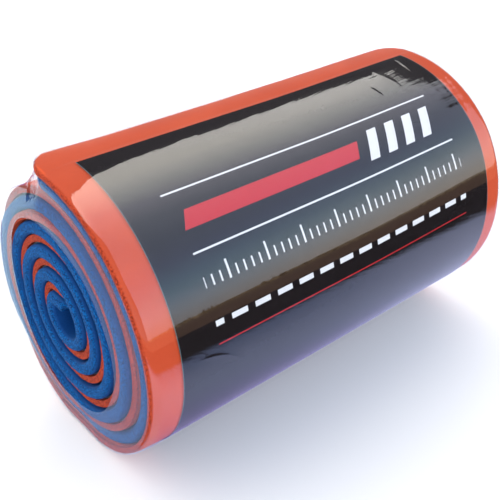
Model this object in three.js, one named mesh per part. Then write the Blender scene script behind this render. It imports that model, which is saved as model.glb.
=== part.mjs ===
// Foam splint rolled up for storage: a soft aluminium strip between a blue and an orange foam layer,
// wound in five turns, with a printed panel round it and a clear film drawn over the roll and its ends.
// Millimetres, +Z up. X runs along the roll, which rests on its flattened underside at Z = 0.

import * as THREE from 'three';

// The strip, laid flat
const STRIP_WIDTH = 108;
const CORE_THICKNESS = 0.4;
const ORANGE_THICKNESS = 1.5;
const BLUE_THICKNESS = 2.85;
const BOND_LINE = 0.1;
const OUTER_CORNER_RADIUS = 7.5;
const INNER_CORNER_RADIUS = 3;

// The edges of the layers, as insets from the edge of the strip
const CORE_EDGE_INSET = 0.3;
const FOAM_EDGE_INSET = 0.4;
const ORANGE_EDGE_ROUNDING = 1;

// The roll. Turns are counted from the top of the roll, over its back, underside and front.
const INNER_END = -0.125;
const OUTER_END = 5.046;
const FIRST_RADIUS = 5.25;
const TURN_PITCH = 5.45;
const SAG_PER_TURN = 0.22;
const FLAT_DEPTH = 0.85;

// The straight leg at the inner end of the strip
const LEG_HEIGHT = 4.6;
const LEG_REACH = 0.2;
const LEG_BEND_SHARPNESS = 16;

// The printed panel under the film
const PANEL_THICKNESS = 0.15;
const PANEL_LEFT = -47;
const PANEL_RIGHT = 48.8;
const PANEL_FOOT = 0.28;
const PANEL_HEAD = 0.995;

// The film sleeve
const FILM_THICKNESS = 0.25;
const FILM_LENGTH = 109;
const FILM_SHOULDER = 2;
const FILM_OPENING_RADIUS = 22.3;
const FILM_LIFT = 0.056;
const FILM_LANDING = 0.145;
const WRAP_GAP = 0.1;

// Fineness of the facets
const STRIP_STEPS_PER_TURN = 36;
const WRAP_STEPS_PER_TURN = 72;
const CORNER_STEPS = 5;
const SHOULDER_STEPS = 2;

const FULL_TURN = 2 * Math.PI;
const UNDERSIDE = 0.5;
const LAST_TURN = 4;

// Levels above the middle of the core, outwards
const FOAM_LEVEL = CORE_THICKNESS / 2 + BOND_LINE;
const ORANGE_FACE = FOAM_LEVEL + ORANGE_THICKNESS;
const BLUE_FACE = -FOAM_LEVEL - BLUE_THICKNESS;
const PANEL_BACK = ORANGE_FACE + WRAP_GAP;
const PANEL_FACE = PANEL_BACK + PANEL_THICKNESS;
const FILM_FACE = PANEL_FACE + WRAP_GAP + FILM_THICKNESS;

// Radius of the middle of the core: an even spiral that sags a little, with a straight leg at its start.
function coreRadius(turns) {
  const angle = turns * FULL_TURN;
  const spiral = FIRST_RADIUS + TURN_PITCH * turns - SAG_PER_TURN * turns * Math.cos(angle);
  if (turns > LEG_REACH) {
    return spiral;
  }
  const leg = LEG_HEIGHT / Math.cos(angle);
  const blended = spiral ** -LEG_BEND_SHARPNESS + leg ** -LEG_BEND_SHARPNESS;
  return blended ** (-1 / LEG_BEND_SHARPNESS);
}

function pointAt(radius, turns) {
  const angle = turns * FULL_TURN;
  return new THREE.Vector2(radius * Math.sin(angle), radius * Math.cos(angle));
}

// Radius of the film's face for a place within one turn: it follows the last turn of the strip,
// then stretches straight from the strip's free end down to the turn below.
function filmRadius(place) {
  const turns = place < FILM_LIFT ? place + LAST_TURN + 1 : place + LAST_TURN;
  if (place < FILM_LIFT || place > FILM_LANDING) {
    return coreRadius(turns) + FILM_FACE;
  }
  const lift = pointAt(coreRadius(FILM_LIFT + LAST_TURN + 1) + FILM_FACE, FILM_LIFT);
  const landing = pointAt(coreRadius(FILM_LANDING + LAST_TURN) + FILM_FACE, FILM_LANDING);
  const along = landing.clone().sub(lift);
  const direction = pointAt(1, place);
  return lift.cross(along) / direction.cross(along);
}

// The underside is pressed flat where the roll rests, the outer turns more than the inner ones.
const REST_DEPTH = filmRadius(UNDERSIDE) - FLAT_DEPTH;

function settled(point) {
  const turns = Math.atan2(point.x, point.y) / FULL_TURN;
  const place = turns - Math.floor(turns);
  const facing = -Math.cos(place * FULL_TURN);
  const face = filmRadius(place);
  if (facing * face <= REST_DEPTH) {
    return point;
  }
  const radius = point.length();
  const pressed = (radius / face) ** 2 * (face - REST_DEPTH / facing);
  return point.clone().setLength(radius - pressed);
}

function place3d(x, point) {
  const { x: y, y: z } = settled(point);
  return new THREE.Vector3(x, y, z);
}

// The middle of the core as a curve across the roll
class CoreCurve extends THREE.Curve {
  getPoint(share, target = new THREE.Vector2()) {
    const turns = INNER_END + share * (OUTER_END - INNER_END);
    return target.copy(pointAt(coreRadius(turns), turns));
  }
}

// How far a rounded corner draws the strip's edge in, at a distance from the strip's end
function cornerInset(distance, radius) {
  if (distance >= radius) {
    return 0;
  }
  return radius - Math.sqrt(radius ** 2 - (radius - distance) ** 2);
}

// Stations along the strip, closer together in the rounded corners at its outer end
function stripStations() {
  const cornerTurns = OUTER_CORNER_RADIUS / (coreRadius(OUTER_END) * FULL_TURN);
  const cornerStart = OUTER_END - cornerTurns;
  const steps = Math.round((cornerStart - INNER_END) * STRIP_STEPS_PER_TURN);
  const turns = [];
  for (let step = 0; step < steps; step += 1) {
    turns.push(INNER_END + ((cornerStart - INNER_END) * step) / steps);
  }
  for (let step = 0; step <= CORNER_STEPS; step += 1) {
    turns.push(cornerStart + cornerTurns * Math.sin((step / CORNER_STEPS) * (Math.PI / 2)));
  }
  return turns;
}

const core = new CoreCurve();
core.arcLengthDivisions = 2000;
const LENGTHS = core.getLengths();
const STRIP_LENGTH = core.getLength();

function stationFrame(turns) {
  const share = (turns - INNER_END) / (OUTER_END - INNER_END);
  const middle = core.getPoint(share);
  const along = core.getTangent(share);
  const outwards = new THREE.Vector2(-along.y, along.x);
  const fromInnerEnd = LENGTHS[Math.round(share * core.arcLengthDivisions)];
  const inset = Math.max(
    cornerInset(fromInnerEnd, INNER_CORNER_RADIUS),
    cornerInset(STRIP_LENGTH - fromInnerEnd, OUTER_CORNER_RADIUS),
  );
  return { middle, outwards, halfWidth: STRIP_WIDTH / 2 - inset };
}

// A closed skin over loops of points, joined end to end into a ring or capped at both ends.
// Each loop runs clockwise as seen from the start of the loft.
function loft(loops, ring) {
  const size = loops[0].length;
  const index = [];
  const spans = ring ? loops.length : loops.length - 1;
  for (let span = 0; span < spans; span += 1) {
    const here = span * size;
    const next = ((span + 1) % loops.length) * size;
    for (let corner = 0; corner < size; corner += 1) {
      const after = (corner + 1) % size;
      index.push(here + corner, here + after, next + corner);
      index.push(here + after, next + after, next + corner);
    }
  }
  if (!ring) {
    const last = (loops.length - 1) * size;
    for (let corner = 1; corner < size - 1; corner += 1) {
      index.push(0, corner + 1, corner);
      index.push(last, last + corner, last + corner + 1);
    }
  }
  const geometry = new THREE.BufferGeometry().setFromPoints(loops.flat());
  geometry.setIndex(index);
  geometry.computeVertexNormals();
  return geometry;
}

// One layer of the strip. Each row of its edge is an inset from the strip's edge and a level above
// the middle of the core, from the inner face to the outer face.
function stripLayer(edge) {
  const loops = stripStations().map((turns) => {
    const { middle, outwards, halfWidth } = stationFrame(turns);
    const corner = (side, { inset, level }) =>
      place3d(side * (halfWidth - inset), middle.clone().addScaledVector(outwards, level));
    const left = edge.map((row) => corner(-1, row));
    const right = edge.map((row) => corner(1, row)).reverse();
    return [...left, ...right];
  });
  return loft(loops, false);
}

const CORE_EDGE = [
  { inset: CORE_EDGE_INSET, level: -CORE_THICKNESS / 2 },
  { inset: CORE_EDGE_INSET, level: CORE_THICKNESS / 2 },
];
const BLUE_EDGE = [
  { inset: FOAM_EDGE_INSET, level: BLUE_FACE },
  { inset: 0, level: -FOAM_LEVEL - BLUE_THICKNESS / 2 },
  { inset: FOAM_EDGE_INSET, level: -FOAM_LEVEL },
];
const ORANGE_EDGE = [
  { inset: FOAM_EDGE_INSET, level: FOAM_LEVEL },
  { inset: FOAM_EDGE_INSET, level: ORANGE_FACE - ORANGE_EDGE_ROUNDING },
  { inset: FOAM_EDGE_INSET + ORANGE_EDGE_ROUNDING, level: ORANGE_FACE },
];

// The printed panel lies just inside the film.
function panelSheet() {
  const steps = Math.round((PANEL_HEAD - PANEL_FOOT) * WRAP_STEPS_PER_TURN);
  const loops = [];
  for (let step = 0; step <= steps; step += 1) {
    const place = PANEL_FOOT + ((PANEL_HEAD - PANEL_FOOT) * step) / steps;
    const face = filmRadius(place) - FILM_FACE;
    const back = pointAt(face + PANEL_BACK, place);
    const front = pointAt(face + PANEL_FACE, place);
    loops.push([
      place3d(PANEL_LEFT, back),
      place3d(PANEL_LEFT, front),
      place3d(PANEL_RIGHT, front),
      place3d(PANEL_RIGHT, back),
    ]);
  }
  return loft(loops, false);
}

// One end of the film's section, from the barrel over the rounded shoulder to the rim of the opening
function filmEnd(side, place, depth) {
  const face = filmRadius(place);
  const rows = [];
  for (let step = 0; step <= SHOULDER_STEPS; step += 1) {
    const bend = (step / SHOULDER_STEPS) * (Math.PI / 2);
    const reach = FILM_SHOULDER - depth;
    const x = FILM_LENGTH / 2 - FILM_SHOULDER + reach * Math.sin(bend);
    const radius = face - FILM_SHOULDER + reach * Math.cos(bend);
    rows.push(place3d(side * x, pointAt(radius, place)));
  }
  rows.push(place3d(side * (FILM_LENGTH / 2 - depth), pointAt(FILM_OPENING_RADIUS, place)));
  return rows;
}

function filmSleeve() {
  const loops = [];
  for (let step = 0; step < WRAP_STEPS_PER_TURN; step += 1) {
    const place = step / WRAP_STEPS_PER_TURN;
    loops.push([
      ...filmEnd(-1, place, 0).reverse(),
      ...filmEnd(1, place, 0),
      ...filmEnd(1, place, FILM_THICKNESS).reverse(),
      ...filmEnd(-1, place, FILM_THICKNESS),
    ]);
  }
  return loft(loops, true);
}

function piece(name, geometry, finish) {
  const mesh = new THREE.Mesh(geometry, new THREE.MeshStandardMaterial(finish));
  mesh.name = name;
  return mesh;
}

const roll = new THREE.Group();
roll.add(
  piece('aluminium_core', stripLayer(CORE_EDGE), { color: 0xb9bcc0, roughness: 0.35, metalness: 1 }),
  piece('blue_foam', stripLayer(BLUE_EDGE), { color: 0x1d5fae, roughness: 0.85 }),
  piece('orange_foam', stripLayer(ORANGE_EDGE), { color: 0xd9572e, roughness: 0.85 }),
  piece('printed_panel', panelSheet(), { color: 0x1a181a, roughness: 0.3 }),
  piece('clear_film', filmSleeve(), { color: 0xf4f6fa, roughness: 0.05, transparent: true, opacity: 0.25 }),
);

// The roll stands on Z = 0, centred over the origin.
const box = new THREE.Box3().setFromObject(roll);
const centre = box.getCenter(new THREE.Vector3());
roll.position.set(-centre.x, -centre.y, -box.min.z);

const splint = new THREE.Group();
splint.add(roll);

export default splint;
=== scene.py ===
# %% [markdown]
# # A rolled foam splint in its film sleeve
# The real splint is one strip: a sheet of soft aluminium with blue foam on one side and orange foam on the
# other. It is rolled up for storage, a printed panel goes round it, and a clear film is shrunk over the lot.
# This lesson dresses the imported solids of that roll. The frame is loaded first, because every size and
# place below has to agree with it.

# %% Load the frame
import math
from functools import partialmethod

import bpy
import numpy as np
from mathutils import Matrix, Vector


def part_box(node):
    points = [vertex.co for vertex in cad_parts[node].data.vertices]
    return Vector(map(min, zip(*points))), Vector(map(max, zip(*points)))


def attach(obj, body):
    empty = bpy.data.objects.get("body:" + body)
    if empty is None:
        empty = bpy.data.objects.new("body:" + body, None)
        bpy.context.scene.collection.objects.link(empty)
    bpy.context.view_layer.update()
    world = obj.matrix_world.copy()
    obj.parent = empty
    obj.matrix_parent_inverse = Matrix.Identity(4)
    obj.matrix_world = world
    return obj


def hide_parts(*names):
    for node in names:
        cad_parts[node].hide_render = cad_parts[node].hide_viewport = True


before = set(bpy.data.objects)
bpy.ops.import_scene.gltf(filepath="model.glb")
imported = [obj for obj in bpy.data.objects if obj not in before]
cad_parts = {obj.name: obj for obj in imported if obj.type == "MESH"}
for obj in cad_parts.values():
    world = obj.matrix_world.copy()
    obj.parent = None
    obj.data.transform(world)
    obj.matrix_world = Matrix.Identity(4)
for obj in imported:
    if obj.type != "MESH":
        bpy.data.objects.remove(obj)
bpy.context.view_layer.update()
print("nodes:", sorted(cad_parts))

# %% [markdown]
# ## The strip's sizes
# All lengths are in metres, written as so many millimetres. Places round the roll are counted in turns from
# the top, over the back, the underside and the front, so one number says both the angle and the layer. The
# core follows an even spiral that sags a little, as a soft roll does. The roll's weight presses its underside
# flat, which sets how high its centre stands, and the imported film's box says how far it reaches to the front.

# %% Name the strip's sizes
MM = 0.001
TURN = 2 * math.pi

STRIP_WIDTH = 108 * MM
CORE_THICKNESS = 0.34 * MM
ORANGE_THICKNESS = 1.85 * MM
BLUE_THICKNESS = 2.95 * MM
BOND_LINE = 0.02 * MM
FOAM_LEVEL = CORE_THICKNESS / 2 + BOND_LINE

INNER_END, OUTER_END = -0.125, 5.0435
FIRST_RADIUS = 5.25 * MM
TURN_PITCH = 5.45 * MM
SAG_PER_TURN = 0.22 * MM
LEG_HEIGHT = 4.6 * MM
OUTER_CORNER, INNER_CORNER = 6.5 * MM, 3 * MM


def core_radius(turns):
    """Radius of the middle of the aluminium, an even spiral that sags a little."""
    return FIRST_RADIUS + TURN_PITCH * turns - SAG_PER_TURN * turns * np.cos(turns * TURN)


print("core's radius at the free end in mm:", round(float(core_radius(OUTER_END)) / MM, 2))

# %% Find the roll's centre
FILM_LEVEL = 2.28 * MM
FILM_WALL = 0.05 * MM
FLAT_DEPTH = 0.73 * MM
SLACK = 0.12 * MM
LAST_TURN = 4
UNDERSIDE = 0.5
FRONT_PLACES = np.linspace(0.6, 0.9, 301)


def outer_radius(place):
    """Radius of the film's face on the last turn, for places past the strip's free end."""
    return core_radius(LAST_TURN + place) + FILM_LEVEL


REST_DEPTH = outer_radius(UNDERSIDE) - FLAT_DEPTH
film_low, film_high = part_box("clear_film")
front_reach = max(outer_radius(p) * -math.sin(p * TURN) for p in FRONT_PLACES)
ROLL_CENTRE = Vector((0, film_low[1] + front_reach + SLACK, film_low[2] + REST_DEPTH + FILM_WALL))
print("roll centre in mm:", [round(v / MM, 2) for v in ROLL_CENTRE])

# %% [markdown]
# ## How the soft roll gives way
# Foam and film are soft, so the roll isn't a true spiral. The free end springs up, most of all at its corners,
# and the last turn swells towards the far end. The inner turns stand out of the near end, whose rim the film
# draws in, and whose edge leans out and spreads at the back. The strip and the film share most of these.

# %% Name the ways it gives way
END_SQUEEZE = 0.2 * MM
RIM_SQUEEZE, SOFT_RIM_SQUEEZE = 0.25 * MM, 0.5 * MM
RIM_REACH, SOFT_RIM_REACH = 1.0 * MM, 2.6 * MM
TAPER_START = 46.5 * MM
TAPER_RATE = 10
FRONT_FROM, FRONT_TO = 0.55, 0.7

SPRING = 0.5 * MM
FLARE = 0.2 * MM
FLARE_START, FLARE_END = 15 * MM, 48 * MM
NEAR_FLARE = 0.4 * MM
NEAR_FLARE_START, NEAR_FLARE_END = 38 * MM, 51 * MM
FLARE_FROM, FLARE_TO = 0.996, 1.04
BULGE = 0.8 * MM
BULGE_START, BULGE_END = 0, 54 * MM
BULGE_FROM, BULGE_TO = 0.76, 0.88
BULGE_LOST_AT_END = 0.6

TELESCOPE = 1.25 * MM
TELESCOPE_FROM, TELESCOPE_TO = 3.5, 4.3
LEAN = 0.45 * MM
LEAN_IN, LEAN_OUT = (0.2, 0.3), (0.44, 0.54)
SPREAD_IN, SPREAD_OUT = (0.1, 0.24), (0.3, 0.46)
print("spring, swelling and standing turns in mm:", [round(v / MM, 2) for v in (SPRING, BULGE, TELESCOPE)])

# %% [markdown]
# ## The camera
# A camera is only as good as its numbers. These come from the outline of the roll in the photograph: its
# distance, its height and its lens were solved together, so that both ends and both edges of the panel fall
# in the right place. The frame is square, so the lens is the focal length in frame widths times the sensor.

# %% Place the camera
CAMERA_FROM_ROLL = Vector((-109.61, -127.4, 101.17)) * MM
CAMERA_TURN = math.radians(40.1)
CAMERA_TILT = math.radians(32.53)
FOCAL_LENGTH_IN_FRAMES = 781 / 500

camera = bpy.data.objects.new("camera", bpy.data.cameras.new("camera"))
camera.data.sensor_width = 36
camera.data.lens = FOCAL_LENGTH_IN_FRAMES * camera.data.sensor_width
camera.data.clip_start = 1 * MM
camera.location = ROLL_CENTRE + CAMERA_FROM_ROLL
camera.rotation_euler = (math.pi / 2 - CAMERA_TILT, 0, -CAMERA_TURN)
bpy.context.scene.collection.objects.link(camera)
bpy.context.scene.camera = camera
print("camera lens in mm:", round(camera.data.lens, 2))

# %% [markdown]
# ## Node trees as sums
# Blender's materials and Geometry Nodes are both trees of small boxes. Wiring them by hand hides the idea,
# so one class wraps a socket and turns Python arithmetic into Math nodes, and one method adds any other node.

# %% Write nodes as expressions


class Wire:
    """An output socket of a node tree. Arithmetic on it adds Math nodes to the tree."""

    def __init__(self, board, socket):
        self.board = board
        self.socket = socket

    def math(self, operation, *others):
        return self.board.node("ShaderNodeMath", {"operation": operation}, dict(enumerate((self, *others))))

    __add__ = __radd__ = partialmethod(math, "ADD")
    __mul__ = __rmul__ = partialmethod(math, "MULTIPLY")
    __sub__ = partialmethod(math, "SUBTRACT")
    __truediv__ = partialmethod(math, "DIVIDE")
    __pow__ = partialmethod(math, "POWER")

    def __rsub__(self, other):
        return self * -1 + other

    def __rtruediv__(self, other):
        return self.math("POWER", -1) * other

    def ramp(self, low, high):
        """0 below low, 1 above high, with a smooth step between."""
        settings = {"interpolation_type": "SMOOTHSTEP"}
        return self.board.node("ShaderNodeMapRange", settings, {"Value": self, 1: low, 2: high})


class Board:
    """A node tree and the one method that adds nodes to it."""

    def __init__(self, tree):
        self.tree = tree

    def node(self, kind, settings=None, sockets=None, output=0):
        node = self.tree.nodes.new(kind)
        for name, value in (settings or {}).items():
            if name == "stops":
                set_stops(node.color_ramp, value)
            else:
                setattr(node, name, value)
        for name, value in (sockets or {}).items():
            if isinstance(value, Wire):
                self.tree.links.new(value.socket, node.inputs[name])
            else:
                node.inputs[name].default_value = value
        return Wire(self, node.outputs[output]) if node.outputs else node


def set_stops(ramp, stops):
    """Gives a colour ramp its stops, each a place and a colour."""
    while len(ramp.elements) < len(stops):
        ramp.elements.new(1)
    for element, (place, colour) in zip(ramp.elements, stops):
        element.position = place
        element.color = (*colour, 1)


def split(board, vector):
    """The three parts of a vector, as wires."""
    parts = board.node("ShaderNodeSeparateXYZ", None, {"Vector": vector}).socket.node.outputs
    return [Wire(board, part) for part in parts]


def noise(board, where, scale, detail):
    return board.node("ShaderNodeTexNoise", None, {"Vector": where, "Scale": scale, "Detail": detail})


# %% [markdown]
# ## The strip, rolled by Geometry Nodes
# Each layer of the strip is a flat section swept along one spiral. It could be modelled flat and bent by a
# modifier, but a tree lets three layers share one rule with different numbers. The tree first bends a straight
# line into the spiral, with the short straight leg that the strip has at its inner end.

# %% Bend a line into the spiral
STEPS_PER_TURN = 240
LEG_REACH = 0.2
LEG_BEND_SHARPNESS = 16


def stored(board, geometry, name, value):
    sockets = {"Geometry": geometry, "Name": name, "Value": value}
    return board.node("GeometryNodeStoreNamedAttribute", None, sockets)


def moved(board, geometry, position):
    return board.node("GeometryNodeSetPosition", None, {"Geometry": geometry, "Position": position})


def spiral_radius(turns):
    """The core's radius as wires, with the straight leg at the inner end."""
    angle = turns * TURN
    spiral = turns * TURN_PITCH + FIRST_RADIUS - turns * SAG_PER_TURN * angle.math("COSINE")
    leg = LEG_HEIGHT / angle.math("COSINE")
    blended = (spiral**-LEG_BEND_SHARPNESS + leg**-LEG_BEND_SHARPNESS) ** (-1 / LEG_BEND_SHARPNESS)
    in_leg = turns.math("LESS_THAN", LEG_REACH)
    return spiral + (blended - spiral) * in_leg


def spiral_line(board):
    """A line along the middle of the core, which keeps the count of turns at each point."""
    steps = round((OUTER_END - INNER_END) * STEPS_PER_TURN)
    line = board.node("GeometryNodeCurvePrimitiveLine")
    line = board.node("GeometryNodeResampleCurve", None, {"Curve": line, "Count": steps})
    turns = board.node("GeometryNodeSplineParameter") * (OUTER_END - INNER_END) + INNER_END
    radius = spiral_radius(turns)
    angle = turns * TURN
    sockets = {"Y": radius * angle.math("SINE"), "Z": radius * angle.math("COSINE")}
    on_spiral = board.node("ShaderNodeCombineXYZ", None, sockets)
    return moved(board, stored(board, line, "turns", turns), on_spiral)


print("points along the spiral:", round((OUTER_END - INNER_END) * STEPS_PER_TURN))

# %% [markdown]
# ## The section of a layer
# A cut sheet of foam has edges that are square but a little rounded. Its section starts as a circle that is
# pulled out into two flat faces and two edges. Each point keeps how near the outer face and the edge it is.

# %% Draw the section
LAYER_SIZES = {
    "Level": "how far the layer's middle lies outside the core",
    "Thickness": "thickness of the layer",
    "Half Width": "from the middle of the strip to the edge",
    "Edge Reach": "how far in from the edge its rounding starts",
    "Outer Rounding": "how far the outer face drops at the edge",
    "Inner Rounding": "how far the inner face rises at the edge",
    "Edge Ruffle": "how unevenly the edge was cut",
    "Tuck": "how far the outer turns' edges are drawn in, or let out where it is negative",
    "Squeeze": "share of the film's squeeze on the last turn's rim",
    "Spread": "how far the edge is spread outward at the back of the near end",
}
SECTION_POINTS = 48
FACE_SHARE = 0.6


def layer_section(board, size):
    """A circle pulled out into a flat bar with rounded edges."""
    section = board.node("GeometryNodeCurvePrimitiveCircle", None, {"Resolution": SECTION_POINTS, "Radius": 1})
    half_step = (0, 0, math.pi / SECTION_POINTS)
    section = board.node("GeometryNodeTransform", None, {"Geometry": section, "Rotation": half_step})
    round_x, round_y, _ = split(board, board.node("GeometryNodeInputPosition"))
    across = round_x.math("ABSOLUTE")
    on_face = (across / FACE_SHARE).math("MINIMUM", 1)
    in_edge = ((across - FACE_SHARE) / (1 - FACE_SHARE)).math("MAXIMUM", 0)
    outward = round_y.math("LESS_THAN", 0)
    rounding = size["Inner Rounding"] + (size["Outer Rounding"] - size["Inner Rounding"]) * outward
    across = on_face * (size["Half Width"] - size["Edge Reach"]) + in_edge * size["Edge Reach"]
    across = across * round_x.math("SIGN")
    depth = size["Thickness"] / 2 - rounding * (1 - (1 - in_edge * in_edge).math("SQRT"))
    depth = depth * round_y.math("SIGN")
    on_section = board.node("ShaderNodeCombineXYZ", None, {"X": across, "Y": depth - size["Level"]})
    section = stored(board, section, "outside", 0.5 - depth / size["Thickness"])
    section = stored(board, section, "cut", in_edge)
    return moved(board, section, on_section)


print("inputs of a layer:", list(LAYER_SIZES))

# %% [markdown]
# ## The strip's edges, spring and weight
# The edges of a rolled strip never lie in one plane. They are drawn in at the rounded corners, cut unevenly,
# tucked by the film, and shifted where the inner turns stand out. Towards the roll's axis, the film squeezes the
# last turn's rim, the free end springs up, and the weight presses the underside flat, less on the inner turns.

# %% Shift the edges
RUFFLE_SCALE = 700
TUCK_IN, TUCK_OUT = (-1.05, -0.9), (-0.55, -0.45)
TUCK_SHARE = 0.65
LAST_TUCK_FROM, LAST_TUCK_TO = 0.3, 0.42


def corner_inset(distance, radius):
    """How far a rounded corner draws the edge in, at a distance from the strip's end."""
    short = (radius - distance).math("MAXIMUM", 0)
    return radius - (radius**2 - short * short).math("MAXIMUM", 0).math("SQRT")


def on_stretch(turns, rise, fall):
    """1 on a stretch counted from the start of the last turn, with soft ends."""
    return turns.ramp(*(LAST_TURN + v for v in rise)) - turns.ramp(*(LAST_TURN + v for v in fall))


def from_free_end(turns):
    """Distance to the strip's free end, along the strip."""
    return (OUTER_END - turns) * (TURN * float(core_radius(OUTER_END)))


def shifted_edge(board, size, place, x, turns, near_half):
    """Where a point of the layer ends up along the roll."""
    from_inner = (turns - INNER_END) * (TURN * LEG_HEIGHT)
    inset = corner_inset(from_free_end(turns), OUTER_CORNER).math("MAXIMUM", corner_inset(from_inner, INNER_CORNER))
    tucked = on_stretch(turns, TUCK_IN, TUCK_OUT) * TUCK_SHARE
    tucked = tucked + turns.ramp(LAST_TURN + LAST_TUCK_FROM, LAST_TURN + LAST_TUCK_TO)
    grain = noise(board, place, RUFFLE_SCALE, 2)
    edge_x = x - x.math("SIGN") * (inset + size["Tuck"] * tucked + (grain - 0.5) * size["Edge Ruffle"])
    edge_x = edge_x - on_stretch(turns, LEAN_IN, LEAN_OUT) * near_half * LEAN
    return edge_x - (1 - turns.ramp(TELESCOPE_FROM, TELESCOPE_TO)) * TELESCOPE


# %% Press the turns
LAST_TURN_BLEND = 0.01
LEAST_FACING = 0.2


def rim_squeeze(size, x, edge_x, turns, outside, near_half):
    """How far the film squeezes the rim of the last turn, softly on the front of the near end."""
    soft = turns.ramp(LAST_TURN + FRONT_FROM, LAST_TURN + FRONT_TO) * near_half
    to_edge = (size["Half Width"] - x.math("ABSOLUTE")).math("MINIMUM", from_free_end(turns))
    reach = soft * (SOFT_RIM_REACH - RIM_REACH) + RIM_REACH
    in_rim = 1 - (to_edge / reach).math("MAXIMUM", 0).math("MINIMUM", 1)
    rim_drop = 1 - (1 - in_rim * in_rim).math("SQRT")
    rim_drop = rim_drop * (soft * (SOFT_RIM_SQUEEZE - RIM_SQUEEZE) + RIM_SQUEEZE)
    outermost = turns.ramp(LAST_TURN - LAST_TURN_BLEND, LAST_TURN + LAST_TURN_BLEND)
    past = (-TAPER_START - edge_x).math("MAXIMUM", 0)
    return (rim_drop + past * past * soft * TAPER_RATE) * outside * outermost * size["Squeeze"]


def end_spring(edge_x, turns):
    """How far the free end springs up and the last turn swells."""
    at_end = turns.ramp(LAST_TURN + FLARE_FROM, LAST_TURN + FLARE_TO)
    spring = edge_x.ramp(FLARE_START, FLARE_END) * FLARE + SPRING
    spring = spring + (edge_x * -1).ramp(NEAR_FLARE_START, NEAR_FLARE_END) * NEAR_FLARE
    bulge = edge_x.ramp(BULGE_START, BULGE_END) * turns.ramp(LAST_TURN + BULGE_FROM, LAST_TURN + BULGE_TO)
    return spring * at_end + bulge * BULGE * (1 - at_end * BULGE_LOST_AT_END)


def weight_press(y, z, reach):
    """How far the roll's weight presses a point up from the floor."""
    facing = (z / reach * -1).math("MAXIMUM", LEAST_FACING)
    spot = y.math("ARCTAN2", z) / TURN
    last = spot - spot.math("FLOOR") + LAST_TURN
    face = last * TURN_PITCH + (FIRST_RADIUS + FILM_LEVEL) + last * SAG_PER_TURN * (z / reach * -1)
    return (face - REST_DEPTH / facing).math("MAXIMUM", 0) * (reach / face) ** 2


# %% Put the tree together


def kept(board, name):
    return board.node("GeometryNodeInputNamedAttribute", None, {"Name": name})


def rolled_place(board, size):
    """The final place of each point of a swept layer."""
    turns, outside, cut = (kept(board, name) for name in ("turns", "outside", "cut"))
    place = board.node("GeometryNodeInputPosition")
    x, y, z = split(board, place)
    near_half = x.math("LESS_THAN", 0)
    edge_x = shifted_edge(board, size, place, x, turns, near_half)
    squeeze = rim_squeeze(size, x, edge_x, turns, outside, near_half)
    spread = size["Spread"] * cut * cut * outside * near_half * on_stretch(turns, SPREAD_IN, SPREAD_OUT)
    reach = (y * y + z * z).math("SQRT")
    grown = 1 + (end_spring(edge_x, turns) + spread - squeeze - weight_press(y, z, reach)) / reach
    sockets = {"X": edge_x, "Y": y * grown + ROLL_CENTRE.y, "Z": z * grown + ROLL_CENTRE.z}
    return board.node("ShaderNodeCombineXYZ", None, sockets)


def layer_tree():
    """The whole rule of a layer, made real at its end, because an export keeps real meshes only."""
    tree = bpy.data.node_groups.new("rolled layer", "GeometryNodeTree")
    board = Board(tree)
    for name, words in LAYER_SIZES.items():
        socket = tree.interface.new_socket(name, in_out="INPUT", socket_type="NodeSocketFloat")
        socket.description = words
    tree.interface.new_socket("Finish", in_out="INPUT", socket_type="NodeSocketMaterial")
    tree.interface.new_socket("Layer", in_out="OUTPUT", socket_type="NodeSocketGeometry")
    entry = tree.nodes.new("NodeGroupInput")
    size = {socket.name: Wire(board, socket) for socket in entry.outputs if socket.name}

    sockets = {"Curve": spiral_line(board), "Profile Curve": layer_section(board, size), "Fill Caps": True}
    layer = board.node("GeometryNodeCurveToMesh", None, sockets)
    layer = moved(board, layer, rolled_place(board, size))
    layer = board.node("GeometryNodeSetShadeSmooth", None, {"Geometry": layer})
    layer = board.node("GeometryNodeRealizeInstances", None, {"Geometry": layer})
    layer = board.node("GeometryNodeSetMaterial", None, {"Geometry": layer, "Material": size["Finish"]})
    board.node("NodeGroupOutput", None, {"Layer": layer})
    return tree


layer_rule = layer_tree()
print("nodes in the layer's tree:", len(layer_rule.nodes))

# %% [markdown]
# ## The foam and the metal
# Closed-cell foam is matte, with a grain a fraction of a millimetre across, and its cut edge is rougher and
# deeper in colour than its skin. The value that the section kept says where the cut is. The metal shows only as a
# thin line at the edge, with the fine lines of a rolling mill, and its greys are painted shade: far darker than
# bare aluminium, so that line reads dark in its groove. Patterns read Object coordinates, so they stay on
# the piece from every side.

# %% Make the foam and metal finishes
FOAM_GRAIN_SCALE = 3000
FOAM_MOTTLE_SCALE = 70
MILL_LINE_SCALES = (3000, 150, 150)


def new_finish(name):
    """An empty finish, its board, and the place of a point on its own piece."""
    finish = bpy.data.materials.new(name)
    finish.use_nodes = True
    finish.node_tree.nodes.clear()
    board = Board(finish.node_tree)
    return finish, board, board.node("ShaderNodeTexCoord", None, None, output="Object")


def close_finish(board, surface):
    board.node("ShaderNodeOutputMaterial", None, {"Surface": surface})


def plain_finish(board, sockets):
    close_finish(board, board.node("ShaderNodeBsdfPrincipled", None, sockets))


def mixed(board, share, first, second):
    """A colour between two others, by a share that may vary over the surface."""
    sockets = {"Factor": share, 6: first, 7: second}
    return board.node("ShaderNodeMix", {"data_type": "RGBA"}, sockets, output=2)


def rgb(red, green, blue):
    """A colour given in the 0 to 255 steps of a picture, as the shader wants it."""
    shares = [value / 255 for value in (red, green, blue)]
    linear = [v / 12.92 if v <= 0.04045 else ((v + 0.055) / 1.055) ** 2.4 for v in shares]
    return (*linear, 1)


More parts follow.
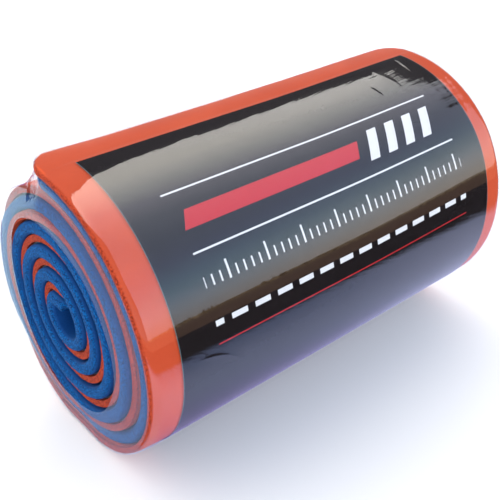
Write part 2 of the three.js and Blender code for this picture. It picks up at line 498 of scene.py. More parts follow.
def foam_finish(name, skin, skin_pale, cut, cut_dark):
    """Foam with a mottled skin, and a rougher, deeper cut edge."""
    finish, board, here = new_finish(name)
    at_edge = board.node("ShaderNodeAttribute", {"attribute_name": "cut"}, None, output="Fac").ramp(0.35, 0.8)
    grain = noise(board, here, FOAM_GRAIN_SCALE, 3)
    mottle = noise(board, here, FOAM_MOTTLE_SCALE, 4)
    speck = grain.ramp(0.38, 0.62)
    skin_colour = mixed(board, mottle.ramp(0.3, 0.75) * 0.7 + speck * 0.3, skin, skin_pale)
    cut_colour = mixed(board, speck, cut_dark, cut)
    sockets = {"Strength": 0.35, "Distance": 0.1 * MM, "Height": grain + mottle * 0.3}
    bump = board.node("ShaderNodeBump", None, sockets)
    sockets = {"Normal": bump, "Specular IOR Level": 0.15}
    sockets["Base Color"] = mixed(board, at_edge, skin_colour, cut_colour)
    sockets["Roughness"] = 0.72 + at_edge * 0.2 + (grain - 0.5) * 0.15
    plain_finish(board, sockets)
    return finish


def aluminium_finish_painted_dark():
    """Soft rolled sheet, with the fine lines of the mill along the strip, in greys painted dark as the shade of its
    groove.
    """
    finish, board, here = new_finish("soft aluminium sheet")
    stretched = board.node("ShaderNodeMapping", None, {"Vector": here, "Scale": MILL_LINE_SCALES})
    lines = noise(board, stretched, 1, 2)
    # painted shade: both greys sit far below bare aluminium, so the edge reads as a dark line in its groove
    colour = mixed(board, lines, rgb(60, 61, 64), rgb(104, 105, 110))
    plain_finish(board, {"Base Color": colour, "Metallic": 1.0, "Roughness": 0.3 + lines * 0.25})
    return finish


orange_finish = foam_finish(
    "orange foam",
    skin=rgb(196, 74, 37),
    skin_pale=rgb(208, 85, 47),
    cut=rgb(180, 66, 37),
    cut_dark=rgb(114, 35, 20),
)
blue_finish = foam_finish(
    "blue foam",
    skin=rgb(8, 58, 116),
    skin_pale=rgb(14, 74, 136),
    cut=rgb(0, 86, 150),
    cut_dark=rgb(0, 41, 85),
)
core_finish = aluminium_finish_painted_dark()
print("finishes:", [m.name for m in (orange_finish, blue_finish, core_finish)])

# %% [markdown]
# ## Rolling the three layers
# A modifier's inputs are set by the identifier of each socket before the object is first looked at. The
# evaluated result is then kept as a plain mesh, and the modifier goes. The blue foam is the widest layer, the core
# stands back between the foams, and the orange foam comes forward on the outer turns.

# %% Roll the layers
SHARP_ANGLE = math.radians(12)


def add_piece(name, mesh):
    piece = bpy.data.objects.new(name, mesh)
    bpy.context.scene.collection.objects.link(piece)
    return piece


def keep_result(piece):
    """Turns a piece's evaluated shape into its own plain mesh."""
    graph = bpy.context.evaluated_depsgraph_get()
    mesh = bpy.data.meshes.new_from_object(piece.evaluated_get(graph))
    piece.modifiers.clear()
    piece.data = mesh


def rolled_layer(name, finish, sizes):
    piece = add_piece(name, bpy.data.meshes.new(name))
    modifier = piece.modifiers.new("rolled layer", "NODES")
    modifier.node_group = layer_rule
    values = {**sizes, "Finish": finish}
    for item in layer_rule.interface.items_tree:
        if item.in_out == "INPUT":
            modifier[item.identifier] = values[item.name]
    keep_result(piece)
    piece.data.set_sharp_from_angle(angle=SHARP_ANGLE)
    print(name, "has", len(piece.data.polygons), "faces")
    return piece


# each row is one size of the blue foam, the core and the orange foam
LAYER_TABLE = {
    "Level": (-FOAM_LEVEL - BLUE_THICKNESS / 2, 0.0, FOAM_LEVEL + ORANGE_THICKNESS / 2),
    "Thickness": (BLUE_THICKNESS, CORE_THICKNESS, ORANGE_THICKNESS),
    "Half Width": (STRIP_WIDTH / 2 + 0.15 * MM, STRIP_WIDTH / 2 - 1.7 * MM, STRIP_WIDTH / 2 - 1.0 * MM),
    "Edge Reach": (1.1 * MM, 0.1 * MM, 1.2 * MM),
    "Outer Rounding": (1.1 * MM, 0.1 * MM, 0.2 * MM),
    "Inner Rounding": (1.1 * MM, 0.1 * MM, 0.15 * MM),
    "Edge Ruffle": (0.3 * MM, 0.0, 0.15 * MM),
    "Tuck": (0.35 * MM, 0.35 * MM, -1.1 * MM),
    "Squeeze": (0.0, 0.0, 1.0),
    "Spread": (3.5 * MM, 0.0, 0.0),
}
blue_sizes, core_sizes, orange_sizes = [dict(zip(LAYER_TABLE, column)) for column in zip(*LAYER_TABLE.values())]
blue_layer = rolled_layer("blue_foam_layer", blue_finish, blue_sizes)
core_layer = rolled_layer("aluminium_core_sheet", core_finish, core_sizes)
orange_layer = rolled_layer("orange_foam_layer", orange_finish, orange_sizes)

# %% [markdown]
# ## What the film lies on
# Shrink film is a tight skin that follows what is under it. It could be a cloth simulation, but the roll is known
# exactly, so a grid worked out point by point is smoother. First come the strip's spring, swelling and free end,
# now in numbers.

# %% Follow the strip in numbers
END_PLACE = OUTER_END - (LAST_TURN + 1)


def strip_end_place(x):
    """The place of the strip's free end, at a distance x from the middle of the strip."""
    past = np.clip(np.abs(x) - (STRIP_WIDTH / 2 - OUTER_CORNER), 0, OUTER_CORNER)
    drawn_in = OUTER_CORNER - np.sqrt(OUTER_CORNER**2 - past**2)
    return END_PLACE - drawn_in / (TURN * core_radius(OUTER_END))


def smooth_step(value, low, high):
    share = np.clip((value - low) / (high - low), 0, 1)
    return share * share * (3 - 2 * share)


def flare(place, x):
    """How far the free end springs up, most of all at its corners, and the last turn swells to the far end."""
    far = FLARE * smooth_step(x, FLARE_START, FLARE_END)
    near = NEAR_FLARE * smooth_step(-x, NEAR_FLARE_START, NEAR_FLARE_END)
    at_end = smooth_step(place, FLARE_FROM, FLARE_TO)
    bulge = BULGE * smooth_step(x, BULGE_START, BULGE_END) * smooth_step(place, BULGE_FROM, BULGE_TO)
    return (SPRING + far + near) * at_end + bulge * (1 - BULGE_LOST_AT_END * at_end)


def at_front(place):
    """1 on the front of the roll and up to the strip's free end, 0 on its back."""
    return np.where(place < END_PLACE, 1, smooth_step(place, FRONT_FROM, FRONT_TO))


def taper(place, x):
    """How far the tight film draws the near end of the roll in."""
    return TAPER_RATE * np.maximum(-TAPER_START - x, 0) ** 2 * at_front(place)


print("film is lifted from the strip's end at", round(float(strip_end_place(0.0)) * 360, 1), "degrees")

# %% [markdown]
# ## The film beside the free end
# Where the strip ends, the film goes straight from its edge down to the turn below. Near the two corners it is
# drawn in more steeply, with a sharp knee and small folds. Elsewhere it hugs the foam or the panel.

# %% Work out the film's radius
PANEL_LEFT, PANEL_RIGHT = -47 * MM, 48.8 * MM
PANEL_FOOT, PANEL_HEAD = 0.28, 0.999
PANEL_STEP_ON, PANEL_STEP_OFF = 0.001, 0.006
HUG = 0.16 * MM
LIFT_GAP = 0.0004
FIRST_LANDING = 0.08
STEEP_LANDING = 0.032
DRAWN_FROM, DRAWN_TO = 44 * MM, 53 * MM
KNEE_PLACE, KNEE_DROP = 0.0018, 2.2 * MM
FOLD_HEIGHT = 0.25 * MM
FOLDS = 3
TINY = 1e-9


def over_panel(place):
    """1 where the film lies on the panel, falling to 0 just past the panel's head and foot."""
    place = np.where(place < PANEL_FOOT / 2, place + 1, place)
    head = 1 - smooth_step(place, PANEL_HEAD - PANEL_STEP_ON, PANEL_HEAD + PANEL_STEP_OFF)
    foot = smooth_step(place, PANEL_FOOT - PANEL_STEP_OFF, PANEL_FOOT + PANEL_STEP_ON)
    return head * foot


def held_radius(place, x, lift, top):
    """Radius of the film where it lies on the strip or on the panel."""
    before = place < lift
    held = np.where(before, outer_radius(place + 1), outer_radius(place))
    held = held + flare(np.where(before, place + 1, place), x)
    held = held - HUG * (1 - over_panel(place))
    near_end = np.clip(1 - (lift - place) * TURN * top / SOFT_RIM_REACH, 0, 1)
    return held - np.where(before, END_SQUEEZE * (1 - np.sqrt(1 - near_end**2)), 0)


def film_radius(place, x):
    """Radius of the film's face at a place within the turn, before the underside is pressed flat."""
    lift = strip_end_place(x) + LIFT_GAP
    top = outer_radius(lift + 1) + flare(lift + 1, x) - HUG - END_SQUEEZE
    landing = lift + FIRST_LANDING
    for _ in range(4):
        landing = lift + np.arccos(outer_radius(landing) / top) / TURN
    drawn = smooth_step(np.abs(x), DRAWN_FROM, DRAWN_TO)
    landing = landing + (lift + STEEP_LANDING - landing) * drawn
    knee = lift + KNEE_PLACE * drawn + TINY
    start = (top - KNEE_DROP * drawn) * np.exp(1j * knee * TURN)
    along = outer_radius(landing) * np.exp(1j * landing * TURN) - start
    ray = np.exp(1j * place * TURN)
    cross = np.imag(np.conj(ray) * along)
    bridge = np.imag(np.conj(start) * along) / np.where(np.abs(cross) < TINY, TINY, cross)
    share = np.clip((place - knee) / (landing - knee), 0, 1)
    bridge = bridge + FOLD_HEIGHT * drawn * np.sin(share * math.pi) * np.sin(share * FOLDS * TURN)
    bridge = np.where(place < knee, top - KNEE_DROP * drawn * (place - lift) / (knee - lift), bridge)
    bridged = (place >= lift) & (place <= landing)
    return np.where(bridged, bridge, held_radius(place, x, lift, top)) - taper(place, x)


def press_flat(radius, place, face):
    """Presses a radius in where the roll rests on its underside."""
    facing = np.maximum(-np.cos(place * TURN), LEAST_FACING)
    return radius - (radius / face) ** 2 * np.maximum(face - REST_DEPTH / facing, 0)


print("film's radius at the front in mm:", round(float(film_radius(np.array(0.75), 0.0)) / MM, 2))

# %% [markdown]
# ## The film's two ends
# Each row of the film's grid runs once round the roll. The rows of an end start at the curled rim of the opening,
# cross the flange and go over the shoulder, which is soft on the front of the near end and tight elsewhere. The
# near flange stands out with the inner turns, and both openings dip at the back.

# %% Lay out the ends
FILM_HALF_LENGTH = film_high[0]
SHOULDER_REACH = 2.6 * MM
SHOULDER_DROP = 2.1 * MM
TIGHT_SHOULDER = 0.9 * MM
FILM_OPENING = 22.3 * MM
OPENING_DIP = 2.2 * MM
DIP_IN, DIP_OUT = (0.08, 0.2), (0.3, 0.42)
WAVES = [(0.2 * MM, 3, 1), (0.12 * MM, 7, 0)]
STANDING_REACH = 24 * MM, 29 * MM
CURL_RADIUS = 0.08 * MM
CURL_TURN = 1.4 * math.pi
CURL_STEPS = 5
FLANGE_STEPS = 12
SHOULDER_STEPS = 8


def film_places():
    """Places round the roll, close together where the film leaves the strip's free end."""
    fine = np.arange(0, 70, 0.3)
    coarse = np.arange(70, 354, 1.5)
    head = np.arange(354, 360, 0.5)
    return np.concatenate([fine, coarse, head]) / 360


def opening_rim(side):
    """Radius of the opening, a little wavy, with a dip at the back."""
    opening = FILM_OPENING
    for height, count, phase in WAVES:
        opening = opening + height * np.sin(count * places * TURN + phase * side)
    return opening - OPENING_DIP * (smooth_step(places, *DIP_IN) - smooth_step(places, *DIP_OUT))


def end_rows(side):
    """Rows of one end, from the rim of the opening to the start of the barrel, as x and radius."""
    rows = []
    soft = at_front(places) if side < 0 else 0 * places
    standing = TELESCOPE if side < 0 else 0
    lean = LEAN * (smooth_step(places, *LEAN_IN) - smooth_step(places, *LEAN_OUT)) * (side < 0)
    reach = TIGHT_SHOULDER + (SHOULDER_REACH - TIGHT_SHOULDER) * soft
    drop = TIGHT_SHOULDER + (SHOULDER_DROP - TIGHT_SHOULDER) * soft
    face = film_radius(places, np.full_like(places, side * FILM_HALF_LENGTH))
    foot = face - drop
    opening = opening_rim(side)
    for step in range(CURL_STEPS, 0, -1):
        turned = step / CURL_STEPS * CURL_TURN
        out = FILM_HALF_LENGTH + standing + CURL_RADIUS * (1 - math.cos(turned))
        rows.append((np.full_like(places, side * out), opening - CURL_RADIUS * math.sin(turned), face))
    for step in range(FLANGE_STEPS):
        share = step / FLANGE_STEPS
        radius = opening + (foot - opening) * share
        x = side * (FILM_HALF_LENGTH + standing * (1 - smooth_step(radius, *STANDING_REACH)) + lean * share)
        rows.append((x, radius, face))
    for step in range(SHOULDER_STEPS):
        bend = (1 - step / SHOULDER_STEPS) * math.pi / 2
        x = side * (FILM_HALF_LENGTH + lean - reach * (1 - math.sin(bend)))
        here = film_radius(places, x)
        rows.append((x, here - drop * (1 - math.cos(bend)), here))
    return rows


places = film_places()
print("points in a row of the film:", len(places))

# %% Build the film
SINK_STEPS = 13
BARREL_STEPS = 36


def barrel_rows():
    """Rows along the barrel, closer together where the strip's rounded corners are."""
    inner = STRIP_WIDTH / 2 - OUTER_CORNER - 1 * MM
    near = np.linspace(SHOULDER_REACH - FILM_HALF_LENGTH, -inner, SINK_STEPS)
    far = np.linspace(inner, FILM_HALF_LENGTH - SHOULDER_REACH, SINK_STEPS)
    middle = np.linspace(-inner, inner, BARREL_STEPS)
    rows = []
    for x in np.concatenate([near, middle[1:-1], far]):
        at = np.full_like(places, x)
        face = film_radius(places, at)
        rows.append((at, face, face))
    return rows


def film_mesh():
    rows = end_rows(-1) + barrel_rows() + end_rows(1)[::-1]
    points = []
    for x, radius, face in rows:
        pressed = press_flat(radius * np.ones_like(places), places, face)
        y = ROLL_CENTRE.y + pressed * np.sin(places * TURN)
        z = ROLL_CENTRE.z + pressed * np.cos(places * TURN)
        points.append(np.stack([x, y, z], axis=1))
    across, around = len(rows), len(places)
    faces = []
    for row in range(across - 1):
        for spot in range(around):
            after = (spot + 1) % around
            here = row * around
            there = here + around
            faces.append((here + spot, here + after, there + after, there + spot))
    mesh = bpy.data.meshes.new("clear_film_sleeve")
    mesh.from_pydata(np.concatenate(points).tolist(), [], faces)
    mesh.validate()
    mesh.shade_smooth()
    return mesh


film = add_piece("clear_film_sleeve", film_mesh())
print("film skin has", len(film.data.polygons), "faces")

# %% [markdown]
# ## The film's small relief
# Film shrunk by hot air isn't quite smooth. It has faint ripples, a slow sway, three fine creases on top near the
# far end and a blister low on the front. They are too fine for a mesh, so they are heights for a bump.

# %% Write the film's ripples and creases
RIPPLE_SCALES = (420, 60, 60)
RIPPLE_DEPTH = 0.02 * MM
FAR_RIPPLE = 2
FAR_RIPPLE_FROM, FAR_RIPPLE_TO = 46 * MM, 52 * MM
SWAY_SCALE = 60
SWAY_SHARE = 1.5
CREASE_DEPTH = 0.06 * MM
CREASE_WIDTH = 0.22 * MM
CREASES = [((45.3, 0.7), (43.8, -7.3)), ((34.4, -1.5), (36.7, -9.9)), ((28.5, -6.9), (29.4, -11.3))]
CREASE_RISE = 5 * MM
BLISTER_CENTRE, BLISTER_RADIUS = (-43.5, -29.5, 20), 15
BLISTER_SHARE = 2


def crease(x, y, start, end):
    """Height of a fine fold between two spots of the film's top, seen from above."""
    (x1, y1), (x2, y2) = [(a * MM, b * MM) for a, b in (start, end)]
    length = math.hypot(x2 - x1, y2 - y1)
    along = ((x - x1) * (x2 - x1) + (y - y1) * (y2 - y1)) / length**2
    off = ((x - x1) * (y2 - y1) - (y - y1) * (x2 - x1)) / (length * CREASE_WIDTH)
    held = along.ramp(0, 0.15) * (1 - along.ramp(0.5, 1))
    return 1 / (off * off + 1) * held


def blister(board, here, x):
    """Height of the round edge of a blister low on the front of the film."""
    centre = tuple(v * MM for v in BLISTER_CENTRE)
    far = board.node("ShaderNodeVectorMath", {"operation": "DISTANCE"}, {0: here, 1: centre}, output="Value")
    off = (far - BLISTER_RADIUS * MM) / (2 * CREASE_WIDTH)
    return 1 / (off * off + 1) * x.ramp((BLISTER_CENTRE[0] - 1) * MM, (BLISTER_CENTRE[0] + 5) * MM)


def film_height(board, here):
    """Height of the film's small relief, in metres."""
    around = board.node("ShaderNodeMapping", None, {"Vector": here, "Scale": RIPPLE_SCALES})
    x, y, z = split(board, here)
    ripple = noise(board, around, 1, 1)
    ripple = ripple * (x.ramp(FAR_RIPPLE_FROM, FAR_RIPPLE_TO) * FAR_RIPPLE + 1)
    sway = noise(board, here, SWAY_SCALE, 1)
    on_top = z.ramp(ROLL_CENTRE.z, ROLL_CENTRE.z + CREASE_RISE)
    folds = blister(board, here, x) * BLISTER_SHARE
    for start, end in CREASES:
        folds = folds + crease(x, y, start, end) * on_top
    return (ripple + sway * SWAY_SHARE) * RIPPLE_DEPTH + folds * CREASE_DEPTH


print("creases on the film's top:", len(CREASES))

# %% [markdown]
# ## The film's finish
# Clear film is seen by its gloss alone. A glass shader would bend what is under so thin a sheet, so a Mix Shader
# goes from a clear shader to a mirror-like one as the film turns away, which Layer Weight gives as Facing. The
# gloss is capped at a grazing slant. A wall then gives the film two faces that each shine.

# %% Make the film's finish
FILM_GLOSS = 0.073
FILM_GRAZE = 0.25
FILM_GLOSS_POWER = 5
FILM_ROUGHNESS = 0.01
FILM_TINT = (0.985, 0.985, 0.99, 1)


def film_finish():
    finish, board, here = new_finish("clear shrink film")
    clear = board.node("ShaderNodeBsdfTransparent", None, {"Color": FILM_TINT})
    sockets = {"Strength": 1.0, "Distance": 1.0, "Height": film_height(board, here)}
    bump = board.node("ShaderNodeBump", None, sockets)
    sockets = {"Color": (1, 1, 1, 1), "Roughness": FILM_ROUGHNESS, "Normal": bump}
    gloss = board.node("ShaderNodeBsdfGlossy", None, sockets)
    slant = board.node("ShaderNodeLayerWeight", None, {"Blend": 0.5}, output="Facing")
    mirrored = slant**FILM_GLOSS_POWER * (FILM_GRAZE - FILM_GLOSS) + FILM_GLOSS
    surface = board.node("ShaderNodeMixShader", None, {0: mirrored, 1: clear, 2: gloss})
    close_finish(board, surface)
    return finish


def give_wall(piece, thickness):
    wall = piece.modifiers.new("wall", "SOLIDIFY")
    wall.thickness = thickness
    wall.offset = -1
    keep_result(piece)
    print(piece.name, "has", len(piece.data.polygons), "faces")


film.data.materials.append(film_finish())
give_wall(film, FILM_WALL)

# %% [markdown]
# ## The printed panel
# The panel is a sheet of even black print that lies just under the film, from its head at the top of the roll
# down the front and round the underside. It follows the film's own radius, a little further in. Its map holds
# distances along and down the print, so that the design can be written in millimetres.

# %% Build the panel
PANEL_DEPTH = 0.09 * MM
PANEL_WALL = 0.06 * MM
MARK_UNIT = 100 * MM
PANEL_STEPS = 240
PANEL_COLUMNS = 24


def panel_mesh():
    """A curved sheet, with the distances along and down the print in its map, in tenths of a metre."""
    columns = np.linspace(PANEL_LEFT, PANEL_RIGHT, PANEL_COLUMNS + 1)
    spots = np.linspace(PANEL_HEAD, PANEL_FOOT, PANEL_STEPS + 1)
    points, marks = [], []
    for x in columns:
        face = outer_radius(spots) + flare(spots, x) - taper(spots, x)
        radius = press_flat(face - PANEL_DEPTH, spots, face)
        y = ROLL_CENTRE.y + radius * np.sin(spots * TURN)
        z = ROLL_CENTRE.z + radius * np.cos(spots * TURN)
        down = np.concatenate([[0], np.cumsum(np.hypot(np.diff(y), np.diff(z)))])
        points += [(x, py, pz) for py, pz in zip(y, z)]
        marks += [((x - PANEL_LEFT) / MARK_UNIT, d / MARK_UNIT) for d in down]
    row = PANEL_STEPS + 1
    starts = [c * row + i for c in range(PANEL_COLUMNS) for i in range(PANEL_STEPS)]
    mesh = bpy.data.meshes.new("printed_panel_sheet")
    mesh.from_pydata(points, [], [(i, row + i, row + i + 1, i + 1) for i in starts])
    layer = mesh.uv_layers.new(name="print")
    for loop in mesh.loops:
        layer.data[loop.index].uv = marks[loop.vertex_index]
    mesh.shade_smooth()
    return mesh


panel = add_piece("printed_panel_sheet", panel_mesh())
print("panel skin has", len(panel.data.polygons), "faces")

# %% [markdown]
# ## The print
# The design is a plain one of rules, ticks, bars and dashes in white and red. Each mark is a span along and a span
# down the panel, in millimetres, and repeats come from the remainder of a division.

# %% Make the print
PRINT_SPAN = (9, 87)
SOFT_EDGE = 0.06
RULES_DOWN = [(16, 16.4), (29, 29.4)]
# each row of marks has a pitch, a width and a span down
FINE_TICKS = 2, 0.4, (34, 36.2)
LONG_TICKS = 10, 0.5, (32.4, 36.3)
DASHES = 6, 4, (43, 44.2)
SLANT = 0.5
WHITE_BARS = 6, 3, (19, 26)
WHITE_BAR_SPAN = (72, 96)
RED_BAR_SPAN, RED_BAR_DOWN = (22, 70), (20.5, 24.5)
RED_RULE_DOWN = (48, 48.25)
PALE_EDGE = 0.16


def span(value, low, high):
    """1 between two values, with soft edges."""
    return value.ramp(low - SOFT_EDGE, low + SOFT_EDGE) * (1 - value.ramp(high - SOFT_EDGE, high + SOFT_EDGE))


def repeated(along, across, pitch, width, down):
    """A row of marks of one width, one to each pitch."""
    spot = along.math("FLOORED_MODULO", pitch)
    return span(spot, (pitch - width) / 2, (pitch + width) / 2) * span(across, *down)


def print_masks(along, down):
    """Where the print is white and where it is red."""
    length = span(along, *PRINT_SPAN)
    rules = span(down, *RULES_DOWN[0]) + span(down, *RULES_DOWN[1])
    ticks = repeated(along, down, *FINE_TICKS) + repeated(along, down, *LONG_TICKS)
    slanted = along + down * SLANT
    white_bars = repeated(slanted, down, *WHITE_BARS) * span(slanted, *WHITE_BAR_SPAN)
    lines = rules + ticks.math("MINIMUM", 1) + repeated(along, down, *DASHES)
    white = (length * lines + white_bars).math("MINIMUM", 1)
    red_bar = span(down, *RED_BAR_DOWN) * span(slanted, *RED_BAR_SPAN)
    return white, (red_bar + length * span(down, *RED_RULE_DOWN)).math("MINIMUM", 1)


def panel_finish():
    """Glossy black print with its white and red marks, and a pale grey-blue line along both side edges."""
    finish, board, here = new_finish("black print")
    grain = noise(board, here, 900, 3)
    along, down, _ = split(board, board.node("ShaderNodeUVMap", {"uv_map": "print"}))
    along, down = along * (MARK_UNIT / MM), down * (MARK_UNIT / MM)
    white, red = print_masks(along, down)
    edge = 1 - span(along, PALE_EDGE, (PANEL_RIGHT - PANEL_LEFT) / MM - PALE_EDGE)
    colour = mixed(board, grain, rgb(20, 17, 19), rgb(27, 24, 26))
    colour = mixed(board, red, colour, rgb(196, 44, 52))
    colour = mixed(board, white, colour, rgb(226, 228, 230))
    colour = mixed(board, edge, colour, rgb(96, 110, 112))
    sockets = {"Base Color": colour, "Roughness": 0.12 + grain * 0.05, "Specular IOR Level": 0.1}
    plain_finish(board, sockets)
    return finish


panel.data.materials.append(panel_finish())
give_wall(panel, PANEL_WALL)
panel.data.set_sharp_from_angle(angle=SHARP_ANGLE)

# %% [markdown]
# ## The floor
# The roll lies on a plain pale floor that fills the picture from the photo's angle.

# %% Lay the floor
FLOOR_SIZE = 6
HALF_FLOOR = FLOOR_SIZE / 2
FLOOR_CORNERS = [(x * HALF_FLOOR, y * HALF_FLOOR) for x, y in ((-1, -1), (1, -1), (1, 1), (-1, 1))]


def floor_finish():
    finish, board, _ = new_finish("pale floor")
    sockets = {"Base Color": (0.8, 0.8, 0.81, 1), "Roughness": 0.8, "Specular IOR Level": 0.2}
    plain_finish(board, sockets)
    return finish


def stage_piece(name, corners, faces, finish):
    mesh = bpy.data.meshes.new(name)
    mesh.from_pydata(corners, [], faces)
    mesh.materials.append(finish)
    piece = add_piece(name, mesh)
    return piece


stage_piece("floor", [(x, y, 0) for x, y in FLOOR_CORNERS], [(0, 1, 2, 3)], floor_finish())
print("floor is", FLOOR_SIZE, "metres wide")

# %% [markdown]
# ## Cards for the reflections
# Glossy film looks like what it mirrors, so a studio puts cards round it. These glow, but only mirror-like
# surfaces see them: they light nothing and cast no shadow. The first lies on the ground, pale next to the roll,
# dark further out, brown in the distance, and pale again at the left.

# %% Lay the ground card
FRONT_SKEW = 0.165
EDGE_RAG = 0.03


def reflection_card(name, corners, faces, colour_of):
    """A card whose glow only mirror-like surfaces see."""
    finish, board, here = new_finish(name)
    sockets = {"Base Color": (0, 0, 0, 1), "Specular IOR Level": 0.0, "Emission Strength": 1.0}
    sockets["Emission Color"] = colour_of(board, here)
    plain_finish(board, sockets)
    card = stage_piece(name, corners, faces, finish)
    card.visible_camera = False
    card.visible_diffuse = False
    card.visible_shadow = False
    card.visible_transmission = False


def ground(board, here):
    """A pale sheet under the roll, a dark one in front of it, brown past its edge, pale at the left."""
    x, y, _ = split(board, here)
    fine = board.node("ShaderNodeMapping", None, {"Vector": here, "Scale": (600, 40, 1)})
    rag = (noise(board, fine, 1, 3) - 0.5) * EDGE_RAG
    front = x * FRONT_SKEW - y
    sheet = mixed(board, front.ramp(0.01, 0.045), (0.42, 0.37, 0.76, 1), (0.62, 0.7, 1.08, 1))
    sheet = mixed(board, front.ramp(0.045, 0.088), sheet, (0.34, 0.42, 0.72, 1))
    sheet = mixed(board, x.ramp(0, 0.09) * 0.5, sheet, (1.1, 1.15, 1.6, 1))
    table = mixed(board, front.ramp(0.24, 0.27), (0.05, 0.04, 0.04, 1), (0.3, 0.18, 0.12, 1))
    past_edge = mixed(board, front.ramp(0.5, 2), table, (0.75, 0.55, 0.35, 1))
    colour = mixed(board, (front + rag).ramp(0.08, 0.1), sheet, past_edge)
    back_left = y + (x + 0.08) * 1.6
    left = mixed(board, back_left.ramp(0.03, 0.095), (0.52, 0.64, 0.95, 1), (1.2, 1.6, 1.8, 1))
    return mixed(board, x.ramp(-0.05, -0.045).math("MAXIMUM", 1 - y.ramp(-0.1, -0.08)), left, colour)


reflection_card("ground_card", [(x, y, 1 * MM) for x, y in FLOOR_CORNERS], [(0, 1, 2, 3)], ground)
print("ground card lies over the floor")

# %% [markdown]
# ## The standing cards
# Two more cards stand in a ring a metre off. The back one is dark, and its top edge, worked out bearing by
# bearing, draws the edge of the dark band on the panel. The front one is a low brown strip that breaks up the
# line where the ground meets the air. A fixed seed roughens both.

# %% Stand up the ring cards
# each row is a bearing in degrees from the front, through the right, and the card's height in metres
BACK_RING_RISES = [
    (60, 0.0), (66, 0.4), (69, 0.7), (72, 0.78), (75, 0.83), (83, 0.88), (92, 0.89), (103, 0.91), (109, 0.88),
    (113, 0.84), (116, 0.8), (118, 0.765), (120, 0.73), (122, 0.715), (126, 0.71), (131, 0.735), (135, 0.82),
    (140, 0.905), (143, 0.98), (144.6, 1.05), (145.4, 1.18), (147.5, 1.42), (150, 1.75), (155, 2.0), (165, 2.2),
    (180, 2.4), (200, 2.2), (215, 1.9), (230, 1.4), (240, 1.1), (255, 0.9), (270, 1.3), (300, 1.9), (318, 1.9),
    (326, 0.8), (345, 0.4),
]
FRONT_RING_RISES = [(5, 0.03), (35, 0.03), (42, 0.012), (65, 0.01)]
BACK_RAG, FRONT_RAG = 0.07, 1.2
RAG_PITCHES = (0.5, 0.2)
BEARING_STEP = 0.1


def ring_card(name, rises, rag, seed, colour_of):
    """A standing ring of card one metre off, with a ragged top edge, between two bearings."""
    chance = np.random.default_rng(seed)
    bearings = np.arange(rises[0][0], rises[-1][0], BEARING_STEP)
    heights = np.interp(bearings, *zip(*rises))
    for pitch in RAG_PITCHES:
        spots = np.arange(bearings[0], bearings[-1] + pitch, pitch)
        heights = heights * (1 + rag * (np.interp(bearings, spots, chance.random(len(spots))) - 0.5))
    corners = [(math.sin(b), -math.cos(b), z) for b, top in zip(np.radians(bearings), heights) for z in (0, top)]
    faces = [(2 * i, 2 * i + 2, 2 * i + 3, 2 * i + 1) for i in range(len(bearings) - 1)]
    print(name, "has", len(faces), "faces")
    reflection_card(name, corners, faces, colour_of)


def dark_wall(board, here):
    """Dark, and paler towards its foot."""
    _, _, z = split(board, here)
    return mixed(board, z.ramp(0.15, 0.6), (0.2, 0.27, 0.3, 1), (0.12, 0.11, 0.12, 1))


def brown_strip(board, here):
    """Browns, mottled."""
    mottle = noise(board, here, 160, 3)
    return mixed(board, mottle.ramp(0.4, 0.65), (0.16, 0.1, 0.05, 1), (0.85, 0.56, 0.28, 1))


ring_card("back_card", BACK_RING_RISES, BACK_RAG, 7, dark_wall)
ring_card("front_card", FRONT_RING_RISES, FRONT_RAG, 8, brown_strip)

# %% [markdown]
# ## The light
# One large softbox in front gives the roll its soft shape, and a small one lifts the far end. Both stay out of the
# reflections, because the cards say what the film mirrors. The rest is a gradient all round, like a large tent:
# brighter behind the roll and bluish in front, with a pale glow low down that is warm near the floor and at right.

# %% Hang the softboxes


def softbox(name, size, energy, place):
    """A soft square light that faces the roll and stays out of its reflections."""
    light = bpy.data.objects.new(name, bpy.data.lights.new(name, "AREA"))
    light.data.shape = "SQUARE"
    light.data.size = size
    light.data.energy = energy
    light.location = place
    light.rotation_euler = (Vector(place) - ROLL_CENTRE).to_track_quat("Z", "Y").to_euler()
    light.visible_glossy = False
    bpy.context.scene.collection.objects.link(light)
    print(name, "gives", energy, "watts")


softbox("front_softbox", 1.2, 15, (-0.5, -1.3, 0.8))
softbox("far_softbox", 0.2, 0.25, (0.3, -0.25, 0.2))

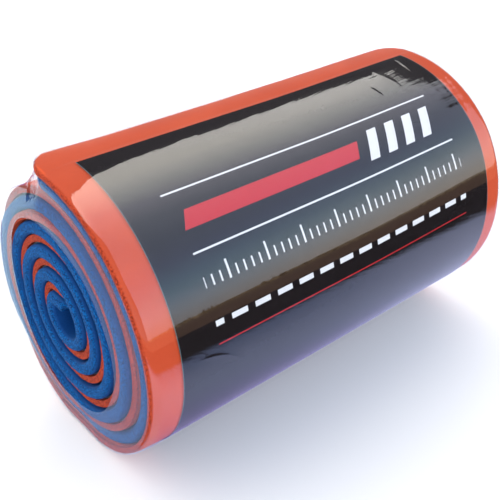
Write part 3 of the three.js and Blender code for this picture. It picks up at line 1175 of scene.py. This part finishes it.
# %% Light the sky
BACKWARD_GLOW = [
    (0.0, (0.4, 0.45, 0.6)), (0.27, (0.43, 0.49, 0.65)), (0.4, (0.63, 0.68, 0.82)),
    (0.5, (1.0, 1.0, 1.15)), (0.6, (1.75, 1.75, 1.7)), (0.7, (2.45, 2.35, 2.15)),
    (1.0, (2.6, 2.45, 2.2)),
]
LOW_GLOW = [
    (0.0, (0.56, 0.44, 0.28)), (0.05, (0.55, 0.48, 0.36)), (0.15, (0.55, 0.6, 0.6)),
    (0.25, (0.36, 0.51, 0.6)), (0.34, (0.17, 0.37, 0.46)), (0.44, (0.07, 0.22, 0.34)),
    (0.6, (0.0, 0.02, 0.1)), (0.75, (0.0, 0.0, 0.0)),
]
RIGHT_GLOW = (0.46, 0.36, 0.2, 1)

world = bpy.data.worlds.new("studio")
bpy.context.scene.world = world
world.use_nodes = True
world.node_tree.nodes.clear()
sky = Board(world.node_tree)
to_right, to_back, to_top = split(sky, sky.node("ShaderNodeTexCoord", None, None, output="Generated"))
back_colour = sky.node("ShaderNodeValToRGB", {"stops": BACKWARD_GLOW}, {"Fac": to_back * 0.5 + 0.5})
low_colour = sky.node("ShaderNodeValToRGB", {"stops": LOW_GLOW}, {"Fac": to_top})
right_strength = to_right.ramp(0.42, 0.8) * (1 - to_top.ramp(0.1, 0.65))
back_glow = sky.node("ShaderNodeBackground", None, {"Color": back_colour, "Strength": 1.0})
low_glow = sky.node("ShaderNodeBackground", None, {"Color": low_colour, "Strength": 1.0})
right_glow = sky.node("ShaderNodeBackground", None, {"Color": RIGHT_GLOW, "Strength": right_strength})
low_glows = sky.node("ShaderNodeAddShader", None, {0: low_glow, 1: right_glow})
all_glows = sky.node("ShaderNodeAddShader", None, {0: back_glow, 1: low_glows})
sky.node("ShaderNodeOutputWorld", None, {"Surface": all_glows})
bpy.context.scene.view_settings.view_transform = "Standard"
print("nodes in the sky:", len(world.node_tree.nodes))

# %% [markdown]
# ## Telling the frame what stands for what
# Every piece rides on the one body of this part and replaces its own solid. The two foam layers are padding.

STANDS_FOR = {
    "aluminium_core": core_layer,
    "blue_foam": blue_layer,
    "orange_foam": orange_layer,
    "printed_panel": panel,
    "clear_film": film,
}
for node, piece in STANDS_FOR.items():
    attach(piece, "root")
    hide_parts(node)
print("pieces:", [piece.name for piece in STANDS_FOR.values()])
